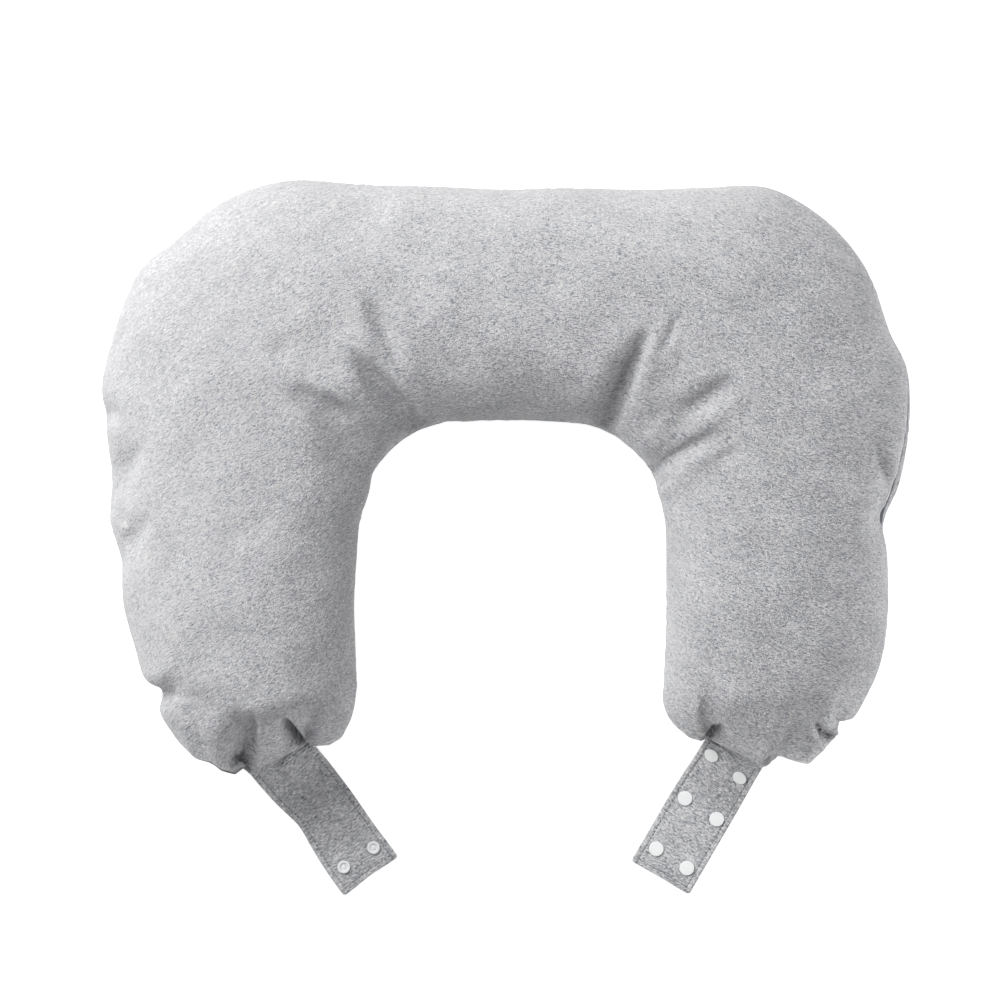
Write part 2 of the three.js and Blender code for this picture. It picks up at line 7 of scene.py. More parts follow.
import bpy
import numpy as np
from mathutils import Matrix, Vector


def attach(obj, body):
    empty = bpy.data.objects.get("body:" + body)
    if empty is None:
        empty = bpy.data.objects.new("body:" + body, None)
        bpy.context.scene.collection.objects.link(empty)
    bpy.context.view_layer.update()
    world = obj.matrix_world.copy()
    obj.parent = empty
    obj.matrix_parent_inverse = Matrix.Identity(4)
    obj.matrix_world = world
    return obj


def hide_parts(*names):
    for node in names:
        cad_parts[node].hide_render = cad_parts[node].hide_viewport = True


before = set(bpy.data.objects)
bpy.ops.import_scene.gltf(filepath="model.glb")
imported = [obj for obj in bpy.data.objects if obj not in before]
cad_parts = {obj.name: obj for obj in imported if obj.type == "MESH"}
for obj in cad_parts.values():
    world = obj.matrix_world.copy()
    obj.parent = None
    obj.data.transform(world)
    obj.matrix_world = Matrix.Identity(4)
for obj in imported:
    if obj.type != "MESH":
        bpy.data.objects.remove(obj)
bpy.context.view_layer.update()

MM = 0.001

# The cover's sections, from the end of the left arm round to the end of the right arm. Columns:
# waist edge x and y, outer edge x and y, height of the crown, height of the seam.
SECTIONS = np.array([
    (-137, -167, -278, -168, 118, 56),
    (-129, -149, -291, -145, 131, 61),
    (-126, -136, -290, -132, 137, 64),
    (-125, -127, -291, -125, 140, 65),
    (-125, -117, -303, -117, 142, 66),
    (-126, -88, -312, -91, 147, 69),
    (-127, -55, -321, -58, 150, 70),
    (-125, -17, -324, -20, 150, 71),
    (-122, 16, -331, 12, 149, 72),
    (-115, 38, -333, 74, 149, 72),
    (-111, 56, -340, 127, 150, 72),
    (-100, 71, -331, 168, 151, 72),
    (-87, 83, -320, 202, 152, 72),
    (-74, 91, -306, 229, 152, 72),
    (-60, 96, -280, 250, 151, 72),
    (-48, 99, -237, 285, 150, 71),
    (-36, 99, -185, 302, 149, 71),
    (-17, 100, -120, 299, 148, 71),
    (2, 100, -55, 297, 147, 71),
    (21, 100, 0, 295, 147, 71),
    (39, 99, 54, 296, 147, 71),
    (55, 98, 114, 295, 148, 71),
    (70, 96, 164, 296, 149, 71),
    (86, 90, 222, 296, 150, 71),
    (99, 82, 274, 265, 151, 72),
    (112, 70, 305, 226, 151, 72),
    (123, 56, 324, 174, 151, 72),
    (129, 37, 338, 144, 150, 72),
    (134, 15, 340, 97, 149, 72),
    (135, -13, 332, 45, 149, 72),
    (135, -40, 321, 14, 149, 71),
    (135, -66, 322, -24, 149, 70),
    (134, -95, 322, -62, 147, 69),
    (133, -119, 316, -103, 143, 67),
    (132, -136, 303, -134, 138, 64),
    (136, -148, 292, -151, 129, 61),
    (139, -153, 283, -152, 125, 59),
    (142, -157, 280, -166, 120, 57),
], dtype=float)
LAST_STOP = len(SECTIONS) - 1

# The edge at each arm's end: out is how far the rim hangs below the straight end section, slit is
# the pinched stretch that holds the strap, from and to, with the height of its two ends, and ear
# is how sharply the corner at the outer edge stands off from the arm's side.
ARM_ENDS = [
    {
        "stop": 0,
        "ear": 0,
        "slit": (0.19, 0.56),
        "slit_heights": (36, 40),
        "rim_across": (0, 0.07, 0.16, 0.19, 0.38, 0.56, 0.6, 0.64, 0.73, 0.79, 0.89, 1),
        "rim_out": (0, 5.5, 5.5, 1, 17, 32, 24, 31, 27.5, 20.5, 17, 0),
    },
    {
        "stop": LAST_STOP,
        "ear": 8,
        "slit": (0.19, 0.55),
        "slit_heights": (34.5, 41.5),
        "rim_across": (0, 0.09, 0.17, 0.19, 0.37, 0.55, 0.59, 0.615, 0.65, 0.76, 0.83, 0.92, 1),
        "rim_out": (0, 9.5, 11, 6, 18.5, 30.5, 26, 19.5, 18.7, 22.9, 24.5, 12.5, 0),
    },
]

# Main folds of the top, the same as in the solids. Columns: the path's three points, depth,
# width, how far the outline is drawn in, and whether the fold fades out at both ends.
FOLDS = [
    (((-115, 201), (-103, 181), (-90, 146)), 5, 10, 0, True),
    (((-129, 164), (-110, 131), (-78, 101)), 11, 11, 0, False),
    (((-177, 127), (-155, 116), (-126, 97)), 7, 11, 0, True),
    (((-196, 168), (-187, 158), (-176, 148)), 4, 12, 0, True),
    (((123, 181), (105, 153), (85, 101)), 11, 11, 0, False),
    (((189, 139), (160, 117), (129, 94)), 7, 10, 0, True),
    (((181, 94), (155, 85), (124, 61)), 9, 10, 0, False),
    (((-309, 80), (-317, 62), (-324, 48)), 6, 13, 1, False),
    (((-309, 10), (-312, -4), (-322, -16)), 8, 12, 1.5, False),
    (((-316, 112), (-326, 108), (-336, 108)), 4, 10, 2, False),
    (((-265, -120), (-278, -125), (-291, -128)), 8, 8, 1, False),
    (((316, 83), (321, 42), (318, 13)), 9, 12, 3, False),
    (((261, -157), (271, -162), (280, -170)), 9, 8, 0, False),
    (((266, -143), (275, -150), (283, -153)), 4, 7, 0, False),
    (((-218, -140), (-224, -166), (-218, -194)), 12, 11, 0, False),
    (((-190, -148), (-180, -160), (-168, -170)), 9, 9, 0, False),
    (((187, -153), (178, -160), (171, -169)), 6, 8, 0, False),
    (((234, -170), (230, -180), (225, -189)), 8, 8, 0, False),
]
FOLD_LIP = 0.25
FOLD_GROWN = 0.7
FOLD_FADE = 3
PULL_FALLOFF = 6

# Roundness of the cushion and the reach of the arm ends, as in the solids
TOP_ROUNDNESS = 2.3
UNDERSIDE_ROUNDNESS = 2.5
UNDERSIDE_FLATTENING = 1.16
END_REACH = 95
LOBE_ROUNDING = 54
TONGUE_LENGTH = 46
TONGUE_ROUNDNESS = 2.5
PINCH_SOFTNESS = 0.05
PINCH_SPREAD = 0.35
EAR_START = 0.8

# The seam: two panels meet in a narrow valley, and part round a strap's root
SEAM_HALF = 0.5
SLIT_HALF = 1.6
VALLEY_DEPTH = 2.2
VALLEY_WIDTH = 3.2
LEDGE_ABOVE = 24
LEDGE_BELOW = 6
SEAM_SHOWN = 2.9
RIM_SOFTNESS = 0.012

# Where the lower panel shows beyond the seam, seen from above. Columns: stop, how far the seam
# lies inside the outline, how far it is lifted.
SEAM_INSETS = np.array([
    (24, 0, 0),
    (25, 0.8, 3),
    (26, 1.6, 5),
    (26.7, 2.2, 6),
    (27.2, 2.2, 6),
    (28, 3, 8),
    (28.6, 6.5, 14),
    (29.2, 6.8, 14),
    (29.7, 4.5, 9),
    (30.2, 0, 0),
])

# Fine creases that the solids leave out. Columns: points that the crease runs through, depth, width,
# lean and whether it fades out at both ends. A negative depth is a ridge. With a lean above 0 the
# side to the left of the way it runs is the steeper one, and below 0 the side to the right.
CREASES = [
    (((-120, 206), (-113, 193), (-104, 182), (-96, 168), (-91, 150), (-84, 126)), 3.2, 6.5, -0.3, True),
    (((-103, 197), (-95, 180), (-87, 160), (-81, 138)), -1.6, 6.5, 0, True),
    (((-133, 170), (-122, 153), (-111, 140), (-100, 128), (-88, 115), (-77, 104)), 3.6, 5.5, 0.25, False),
    (((-197, 178), (-180, 170), (-165, 160), (-152, 151)), 1.2, 7, 0.2, True),
    (((-186, 131), (-170, 120), (-152, 108), (-132, 94)), 3, 12, 0.2, True),
    (((-160, 112), (-144, 100), (-128, 84), (-113, 62)), 6.5, 15, 0, True),
    (((-172, 136), (-154, 128), (-138, 119), (-121, 108)), -1.2, 7, 0, True),
    (((129, 188), (119, 171), (111, 153), (104, 137), (98, 120), (90, 101)), 3.8, 6, 0.2, False),
    (((131, 168), (122, 150), (114, 130), (105, 106)), -1.6, 7, 0, True),
    (((149, 194), (141, 178), (134, 164), (126, 147)), 2.4, 4.5, 0.1, True),
    (((197, 138), (178, 122), (159, 107), (140, 92), (124, 79)), 2.8, 7, -0.2, True),
    (((206, 127), (187, 113), (168, 100), (150, 88), (134, 77)), -1, 7, 0, True),
    (((192, 152), (174, 138), (156, 125), (138, 112)), -2.4, 8, 0, True),
    (((184, 92), (160, 80), (142, 69), (127, 57)), 2.8, 5.5, -0.3, False),
    (((184, 80), (160, 68), (144, 59), (130, 49)), -1.6, 6, 0, True),
    (((174, 67), (187, 71), (200, 79)), 1.8, 5, 0.2, True),
    (((140, 54), (136, 49), (133, 43)), 1.8, 4, 0, True),
    (((-340, 114), (-331, 106), (-321, 97)), 3, 6, 0.2, True),
    (((-302, 84), (-311, 71), (-318, 57), (-323, 44)), 5, 8.5, 0.3, True),
    (((-328, 30), (-324, 19), (-322, 10)), 3, 4, 0, True),
    (((-299, 22), (-306, 10), (-312, 0), (-317, -8)), 6, 9, 0.3, True),
    (((311, 92), (315, 74), (319, 57), (324, 40)), 5.5, 4.5, 0, True),
    (((318, 28), (319, 20), (317, 12)), 2.5, 4, 0, True),
    (((-213, -140), (-211, -154), (-211, -168), (-214, -181), (-219, -193)), 9.5, 7.5, 0.6, False),
    (((-206, -152), (-207, -166), (-209, -180)), -1.2, 5, 0, True),
    (((-190, -148), (-183, -152), (-177, -159), (-172, -166), (-168, -171)), 8, 6, 0.7, False),
    (((-183, -153), (-177, -160), (-171.5, -167), (-168.5, -172)), 8, 2.6, 0.3, False),
    (((-226, -145), (-205, -141), (-186, -143)), -1.4, 6, 0, True),
    (((-168, -138), (-162, -144), (-156, -151)), 0.9, 6, 0, True),
    (((-181, -174), (-190, -181), (-200, -189)), 1.4, 5, 0, True),
    (((184, -153), (178, -157), (174, -161), (170, -167)), 6, 4, -0.65, False),
    (((178, -154), (174, -158.5), (170.5, -162.5), (166.5, -167)), 11, 2.6, -0.3, False),
    (((190, -143), (210, -146), (232, -152)), 2.6, 9, -0.3, True),
    (((183, -162), (197, -172), (214, -186)), 0.8, 3, 0, True),
    (((184, -158), (200, -169), (215, -180)), -0.8, 3, 0, True),
    (((227, -179), (223, -184), (218, -190)), 3, 3, 0, False),
    (((243, -171), (251, -177), (262, -176)), 1.6, 6, 0, True),
    (((256, -153), (266, -160), (274, -166), (282, -171)), 7.5, 4.2, 0.5, False),
    (((271, -145), (276, -155), (279, -164)), -1.4, 4.5, 0, True),
    (((277, -147), (279, -152), (281, -158)), 2, 2.6, 0, False),
]
CREASE_LIP = 0.2
CREASE_GROWN = 0.35
CREASE_MARGIN = 16
CREASE_END_MARGIN = 4

# Gathers: small ripples along each seam, where two lengths of cloth are sewn into one
GATHER_HEIGHT = 0.2
GATHER_START = 5
GATHER_REACH = 15
GATHER_SPACINGS = (21, 13.4)
GATHER_DRIFTS = (87, 61)
GATHER_SWELL = 149

# Broad, low waves of the blown-up cloth. Columns: length, direction in degrees, height, phase.
WAVES = [
    (118, 20, 0.7, 0.4),
    (93, 75, 0.6, 2.1),
    (71, 130, 0.45, 4.0),
    (57, 160, 0.35, 1.2),
    (44, 50, 0.25, 5.1),
]
WAVE_MARGIN = 25

# The hem of the cover above a strap's root: a low welt, and a line of stitches behind it
WELT_HEIGHT = 0.9
WELT_PLACE = 2.6
WELT_WIDTH = 2.2

# The way the rows of knitting run over the panels, seen from above. Columns: x, rise to the right.
KNIT_SLOPES = np.array([
    (-340, 0.5),
    (-250, 0.52),
    (-150, 0.5),
    (-100, 0.3),
    (0, 0.08),
    (80, -0.02),
    (130, -0.3),
    (180, -0.33),
    (250, -0.22),
    (340, -0.05),
])
FLAT_REACH = 500
FLAT_STEP = 5

# Mesh steps of the cover: the top has three steps for each one of the underside, and the rings
# crowd towards the arm ends
RINGS = 610
TRIAL_STOPS = 4000
UNDERSIDE_STEPS = 40
TOP_STEPS = 3 * UNDERSIDE_STEPS
EDGE_CROWDING = 0.25
END_CROWDING = 0.9
END_CROWD_REACH = 70

# Straps, as in the solids. Columns of a profile: distance from the seam, height, lean, width,
# sideways shift. Columns of a root seam: distance from the seam, width, height of the ridge. Its
# ridges fade out across the strap. A snap's place: distance from the seam, from the centre line.
STRAPS = {
    "left": {
        "root": (-189.4, -183.5),
        "away": (0.588, -0.809),
        "outer_side": -1,
        "length": 127,
        "end_dip": 1.1,
        "profile": np.array([
            (-30, 60, 4, 58.5, 0.5),
            (0, 38, 4, 58.5, 0.2),
            (14, 27, 3, 58, -0.3),
            (28, 15.5, 2, 57.5, -1.2),
            (42, 7, 0.5, 55.5, -2.4),
            (57, 3, 0, 53.5, -3.6),
            (75, 1.8, 0, 55, -2.5),
            (95, 2.6, 0, 56.3, -1.5),
            (107, 3.1, 0, 57, -1.4),
            (127, 1.6, 0, 57.2, -1.5),
        ]),
        "root_seam": ((1, 0.7, -1), (2.4, 0.6, 0.7), (3.7, 0.5, -0.9), (4.9, 0.6, 0.6), (6.3, 0.6, -0.9)),
        "root_seam_fade": (2, 16),
        "snaps": ((106.7, 13.9), (108.1, -16)),
    },
    "right": {
        "root": (193.2, -179.3),
        "away": (-0.504, -0.864),
        "outer_side": 1,
        "length": 124,
        "end_dip": 0.3,
        "profile": np.array([
            (-30, 62, 9, 54, 0.2),
            (0, 38, 8, 54, 0.2),
            (14, 27, 6, 54.5, 0.2),
            (28, 15.5, 3.5, 55.5, 0.2),
            (42, 7.6, 1, 56.5, 0.1),
            (56, 4.4, 0, 57, 0),
            (80, 2.8, 0, 57, 0),
            (105, 4.3, 0, 57, 0),
            (124, 2, 0, 57.2, 0),
        ]),
        "root_seam": ((0.9, 0.6, -0.6), (2.3, 0.8, 0.3)),
        "root_seam_fade": (20, 40),
        "snaps": ((11.4, -15), (15.6, 15), (54.9, -15.5), (56.7, 16.5), (104.3, -15), (105.3, 15.5)),
    },
}
STRAP_THICKNESS = 2.4
STRAP_CORNER = 3
STRAP_TUCK = 9
STRAP_EDGE_ROUNDING = 1.5
STRAP_EDGE_HALF = 0.12
END_DIP_REACH = 12
END_DIP_WIDTH = 14

# Mesh steps of a strap: across it, crowded towards its sides, and along it in the tuck, at the root,
# from there to the end's corners, and round these
STRAP_STEPS = 90
STRAP_CROWDING = 0.85
ROOT_END = 8
STRAP_STOPS = (7, 32, 125, 10)

# Stitches of the straps, in a groove, with the hem fuller between them and the edge. A stitch has
# places along it, from -1 to 1, with its thickness there.
FIRST_STITCH = 3.2
STITCH_INSET = 5
STITCH_PITCH = 3.3
STITCH_LENGTH = 2.7
STITCH_RADIUS = 0.27
STITCH_SIDES = 6
STITCH_RUN = np.array([-1, -0.86, -0.45, 0, 0.45, 0.86, 1])
STITCH_THICKNESS = np.array([0.25, 0.7, 0.95, 1, 0.95, 0.7, 0.25])
STITCH_SUNK = 1.6
GROOVE_DEPTH = 0.4
GROOVE_WIDTH = 0.85
GROOVE_START = (1, 3)
HEM_HEIGHT = 0.18
HEM_WIDTH = 1.6

# Snaps: radius and height above the cloth of each moulded half, as in the solids, with the height of
# the cloth's pressed face over the strap's middle and of the snap's hidden underside
SNAP_SIDES = 64
CLOTH_FACE = 1.0
SNAP_BASE = 0.85
CAP_RADIUS = 6.2
CAP_HEIGHT = 1.5
SOCKET_RADIUS = 5.3
SOCKET_HEIGHT = 2.3
STUD_RADIUS = 5.2
STUD_HEIGHT = 2.5
DENT_DEPTH = 0.5
DENT_REACH = 3.2

# The knit: dashes, stitches, streaks and patches to the metre, along the rows and across them. The
# rows wander by WANDER metres, about as often as WANDER_SCALE to the metre.
KNIT_MAP = "knit"
DASHES = (500, 1900)
STITCHES = (1100, 2300)
STREAKS = (170, 500)
BLOTCHES = (22, 40)
WANDER = 0.001
WANDER_SCALE = 60.0
KNIT_RELIEF = 0.5

# Colours. A knit has a dark, a middle and a light yarn, and streaks that shade it by a share.
COVER_YARNS = ((0.285, 0.29, 0.318), (0.448, 0.448, 0.46), (0.555, 0.55, 0.547))
COVER_STREAKING = 0.03
STRAP_YARNS = ((0.285, 0.292, 0.322), (0.52, 0.522, 0.535), (0.71, 0.705, 0.702))
STRAP_STREAKING = 0.04
# The seam's colour is painted shade: the outer seam's cloth is the cover's own knit, drawn near black for
# the shadow down in its valley.
SEAM_SHADE_COLOUR = (0.11, 0.114, 0.126)
THREAD_COLOUR = (0.13, 0.135, 0.145)
SNAP_COLOUR = (0.82, 0.826, 0.83)
FLOOR_COLOUR = (0.9, 0.9, 0.9)

# Textures of blurred noise keep mostly within this span
NOISE_SPAN = (0.3, 0.7)

# The underside is cut from another part of the same cloth
UNDERSIDE_CLOTH = np.array([1700, 900])

# Stage: the camera's sensor and the photograph's frame, with the plane in which its pixels have this
# size, the lights (name, place, size and power) and the floor. From the plane on, lengths are in
# metres.
SENSOR = 36.0
PHOTO_WIDTH = 1000
PIXEL = 0.8437
VIEW_CENTRE = (-4.6, 33.3)
SCALE_PLANE = 0.04
CAMERA_HEIGHT = 12.0
LIGHTS = [
    ("key", (-1.15, 1.05, 1.25), 1.6, 66),
    ("fill", (0.9, -0.1, 0.42), 0.6, 2.9),
]
LIGHT_AIM = (0, 0, 0.05)
WORLD_LIGHT = 0.41
FLOOR_SIZE = 30
FLOOR_GLOW = 0.78

# How the camera answers to light: middle tones gain contrast and bright ones lose it. Columns:
# light and tone, both as shares of white.
RESPONSE = [
    (0, 0),
    (0.1, 0.07),
    (0.2, 0.175),
    (0.3, 0.28),
    (0.4, 0.4),
    (0.5, 0.52),
    (0.6, 0.617),
    (0.7, 0.695),
    (0.8, 0.77),
    (0.9, 0.84),
    (1, 0.915),
    (1.1, 1),
]


# Curves and tables

def smoothstep(x, low, high):
    t = np.clip((x - low) / (high - low), 0, 1)
    return t * t * (3 - 2 * t)


def bell(x):
    return np.exp(-x * x)


def curve_through(points, stops):
    """A smooth curve through points, where stop 2.5 is half way from row 2 to row 3."""
    rows = np.vstack([2 * points[0] - points[1], points, 2 * points[-1] - points[-2]])
    low = np.clip(np.floor(stops).astype(int), 0, len(points) - 2)
    t = (stops - low)[:, None]
    p0, p1, p2, p3 = (rows[low + i] for i in range(4))

    def gap(a, b):
        return np.sqrt(np.linalg.norm(b - a, axis=1))[:, None]

    d0, d1, d2 = gap(p0, p1), gap(p1, p2), gap(p2, p3)
    start = ((p1 - p0) / d0 - (p2 - p0) / (d0 + d1) + (p2 - p1) / d1) * d1
    end = ((p2 - p1) / d1 - (p3 - p1) / (d1 + d2) + (p3 - p2) / d2) * d1
    bend = -3 * p1 + 3 * p2 - 2 * start - end
    twist = 2 * p1 - 2 * p2 + start + end
    return p1 + start * t + bend * t * t + twist * t * t * t


def smooth_look_up(keys, values, at):
    """A smooth curve through the rows of a table."""
    keys, values = np.asarray(keys, float), np.asarray(values, float)
    low_rows = np.maximum(np.arange(len(keys)) - 1, 0)
    high_rows = np.minimum(np.arange(len(keys)) + 1, len(keys) - 1)
    slopes = (values[high_rows] - values[low_rows]) / (keys[high_rows] - keys[low_rows])
    at = np.asarray(at, float)
    low = np.clip(np.searchsorted(keys, at) - 1, 0, len(keys) - 2)
    span = keys[low + 1] - keys[low]
    x = (at - keys[low]) / span
    bend = x * (1 - x) * span
    rise = x * x * (3 - 2 * x)
    return (values[low] + (values[low + 1] - values[low]) * rise
            + bend * ((1 - x) * slopes[low] - x * slopes[low + 1]))


def path_points(corners, steps=10):
    a, b, c = (np.array(p, float) for p in corners)
    t = np.linspace(0, 1, steps + 1)[:, None]
    return (1 - t) ** 2 * a + 2 * t * (1 - t) * b + t * t * c


def nearest_on(points, x, y):
    """Distance to a path, how far along it the nearest place is, from 0 to 1, and the side: 1 for
    the left of the way it runs, -1 for the right."""
    best = np.full(x.shape, np.inf)
    along = np.zeros(x.shape)
    side = np.zeros(x.shape)
    for i in range(len(points) - 1):
        (ax, ay), (bx, by) = points[i], points[i + 1]
        dx, dy = bx - ax, by - ay
        t = np.clip(((x - ax) * dx + (y - ay) * dy) / (dx * dx + dy * dy), 0, 1)
        distance = np.hypot(x - ax - t * dx, y - ay - t * dy)
        nearer = distance < best
        best = np.where(nearer, distance, best)
        along = np.where(nearer, (i + t) / (len(points) - 1), along)
        side = np.where(nearer, np.sign(dx * (y - ay) - dy * (x - ax)), side)
    return best, along, side


def lengths_along(points, axis=0):
    """How far each point lies along its row of points."""
    steps = np.linalg.norm(np.diff(points, axis=axis), axis=-1)
    return np.insert(np.cumsum(steps, axis=axis), 0, 0, axis=axis)


def unit(vectors):
    return vectors / np.maximum(np.linalg.norm(vectors, axis=-1, keepdims=True), 1e-9)


def grid_normals(points):
    return unit(np.cross(np.gradient(points, axis=0), np.gradient(points, axis=1)))


# The cover's main form, as in the solids

INNER_EDGE = SECTIONS[:, [0, 1, 5]]
OUTER_EDGE = SECTIONS[:, [2, 3, 5]]


def on_same_arm(end, stops):
    return np.abs(stops - end["stop"]) < LAST_STOP / 2


def from_end_row(end, stops, edge):
    """How far an edge has run up the arm from its place at the arm's end."""
    return curve_through(edge, stops)[:, 1] - edge[end["stop"], 1]


def nearness(end, stops):
    near = np.clip(1 - from_end_row(end, stops, INNER_EDGE) / END_REACH, 0, 1) ** 2
    return np.where(on_same_arm(end, stops), near, 0)[:, None]


def behind_end(end, stops, across):
    """How far the points lie behind the straight line of an arm's end."""
    inner = from_end_row(end, stops, INNER_EDGE)
    outer = from_end_row(end, stops, OUTER_EDGE)
    return np.maximum(inner[:, None] + (outer - inner)[:, None] * across, 0)


def pinch_at(end, across, behind):
    low, high = end["slit"]
    away = np.clip(behind / TONGUE_LENGTH, 0, 1)
    soft = PINCH_SOFTNESS + PINCH_SPREAD * away
    rise = smoothstep(across, low - soft * (0.25 + away), low + soft)
    fall = smoothstep(across, high - soft / 2, high + soft)
    return rise - fall


def rim_out(end, across):
    """How far the rim hangs out, with its corners a little rounded."""
    offsets = np.linspace(-RIM_SOFTNESS, RIM_SOFTNESS, 5)
    rows = [np.interp(across + offset, end["rim_across"], end["rim_out"]) for offset in offsets]
    ends_fade = np.minimum(1, np.minimum(across, 1 - across) / RIM_SOFTNESS)
    plain = np.interp(across, end["rim_across"], end["rim_out"])
    return plain + (np.mean(rows, axis=0) - plain) * ends_fade


def plan_points(stops, across):
    inner = curve_through(INNER_EDGE, stops)[:, None, :]
    outer = curve_through(OUTER_EDGE, stops)[:, None, :]
    points = inner + (outer - inner) * across[:, :, None]
    for end in ARM_ENDS:
        sharpness = 1 + end["ear"] * smoothstep(across, EAR_START, 1)
        points[:, :, 1] -= nearness(end, stops) ** sharpness * rim_out(end, across)
    return points


def seam_heights(stops, across, points):
    height = points[:, :, 2].copy()
    for end in ARM_ENDS:
        low, high = end["slit"]
        place = np.clip((across - low) / (high - low), 0, 1)
        slit = end["slit_heights"][0] + place * (end["slit_heights"][1] - end["slit_heights"][0])
        height += (slit - height) * nearness(end, stops) * pinch_at(end, across, 0)
    return height


def inside_rim(end, stops, across, points):
    """How far the points lie behind the rim of an arm's end."""
    end_stops = np.full(stops.shape, float(end["stop"]))
    return points[:, :, 1] - plan_points(end_stops, across)[:, :, 1]


def end_fullness(stops, across):
    full = np.ones(across.shape)
    for end in ARM_ENDS:
        behind = behind_end(end, stops, across)
        lobe = np.clip(behind / LOBE_ROUNDING, 0, 1)
        tongue = np.clip(behind / TONGUE_LENGTH, 0, 1)
        rounded = np.sqrt(np.clip(1 - (1 - lobe) ** TOP_ROUNDNESS, 0, 1))
        slope = 1 - (1 - tongue) ** TONGUE_ROUNDNESS
        pinched = rounded + (slope - rounded) * pinch_at(end, across, behind)
        full = np.where(on_same_arm(end, stops)[:, None], pinched, full)
    return full


def bulge(across, roundness):
    return np.sqrt(np.clip(1 - np.abs(2 * across - 1) ** roundness, 0, 1))


def fold_effect(points, across):
    drop, pull = np.zeros(across.shape), np.zeros(across.shape)
    at_edge = np.abs(2 * across - 1) ** PULL_FALLOFF
    for corners, depth, width, drawn_in, fades_out in FOLDS:
        distance, along, _ = nearest_on(path_points(corners), points[:, :, 0], points[:, :, 1])
        trough = bell(distance / width) - FOLD_LIP * bell(distance / width - 2)
        grow = smoothstep(along, 0, FOLD_GROWN)
        drop += depth * trough * (np.sin(np.pi * along) if fades_out else grow)
        pull += drawn_in * bell(distance / width) * grow * at_edge
    return drop, pull


def seam_half_height(stops, across):
    half = np.full(across.shape, SEAM_HALF)
    for end in ARM_ENDS:
        half += (SLIT_HALF - SEAM_HALF) * nearness(end, stops) * pinch_at(end, across, 0)
    return half


def cover_form(stops, across, on_top, folded=True):
    """Points of the top or the underside, an array of rings by steps across."""
    points = plan_points(stops, across)
    seam = seam_heights(stops, across, points)
    outer_side = smoothstep(across, 0.5, 1)
    at, insets, lifts = SEAM_INSETS.T
    inset = np.interp(stops, at, insets)[:, None] * outer_side
    seam = seam + np.interp(stops, at, lifts)[:, None] * outer_side
    half = seam_half_height(stops, across)
    full = end_fullness(stops, across)
    drop, pull = fold_effect(points, across) if folded else (0, np.zeros(across.shape))
    crown = smooth_look_up(np.arange(LAST_STOP + 1), SECTIONS[:, 4], stops)[:, None]
    rounding = bulge(across, TOP_ROUNDNESS) * full
    if on_top:
        height = seam + half + (crown - seam - half) * rounding
        height -= drop * np.minimum(1, FOLD_FADE * rounding)
    else:
        sag = np.minimum(1, UNDERSIDE_FLATTENING * bulge(across, UNDERSIDE_ROUNDNESS) * full)
        height = (seam - half) * (1 - sag)
    middle = plan_points(stops, np.full(across.shape, 0.5))
    inward = unit((middle - points)[:, :, :2])
    from_seam = np.abs(height - seam)
    at_side = np.abs(2 * across - 1) ** 2
    valley = VALLEY_DEPTH * bell(from_seam / VALLEY_WIDTH) * at_side
    if on_top:
        ledge = inset * bell(from_seam / LEDGE_ABOVE) * at_side
    else:
        ledge = np.maximum(inset - SEAM_SHOWN, 0) * bell(from_seam / LEDGE_BELOW) * at_side
    points[:, :, :2] += inward * (pull + valley + ledge)[:, :, None]
    points[:, :, 2] = height
    return points


# The cover's fine relief

def creases_at(x, y):
    relief = np.zeros(x.shape)
    for points, depth, width, lean, fades_out in CREASES:
        places = np.linspace(0, len(points) - 1, 4 * len(points))
        path = curve_through(np.array(points, float), places)
        distance, along, side = nearest_on(path, x, y)
        away = distance / (width * (1 - lean * side))
        trough = bell(away) - CREASE_LIP * bell(away - 2)
        strength = np.sin(np.pi * along) if fades_out else smoothstep(along, 0, CREASE_GROWN)
        relief -= depth * trough * strength
    return relief


def waves_at(x, y):
    relief = np.zeros(x.shape)
    for length, degrees, height, phase in WAVES:
        angle = math.radians(degrees)
        place = x * math.cos(angle) + y * math.sin(angle)
        relief += height * np.sin(2 * np.pi * place / length + phase)
    return relief


def gathers_at(from_seam, place):
    """Ripples along a seam, uneven in height and spacing, that fade out over the cloth."""
    ripples = np.zeros(place.shape)
    for spacing, drift in zip(GATHER_SPACINGS, GATHER_DRIFTS):
        ripples += np.sin(2 * np.pi * place / spacing + 2 * np.sin(2 * np.pi * place / drift))
    swell = 0.55 + 0.45 * np.sin(2 * np.pi * place / GATHER_SWELL)
    fade = smoothstep(from_seam, 0, GATHER_START) * bell(from_seam / GATHER_REACH)
    return GATHER_HEIGHT * ripples * swell * fade


def welts_at(stops, across, points):
    relief = np.zeros(across.shape)
    for end in ARM_ENDS:
        inside = inside_rim(end, stops, across, points)
        welt = bell((inside - WELT_PLACE) / WELT_WIDTH) * WELT_HEIGHT
        relief += welt * pinch_at(end, across, 0) * on_same_arm(end, stops)[:, None]
    return relief


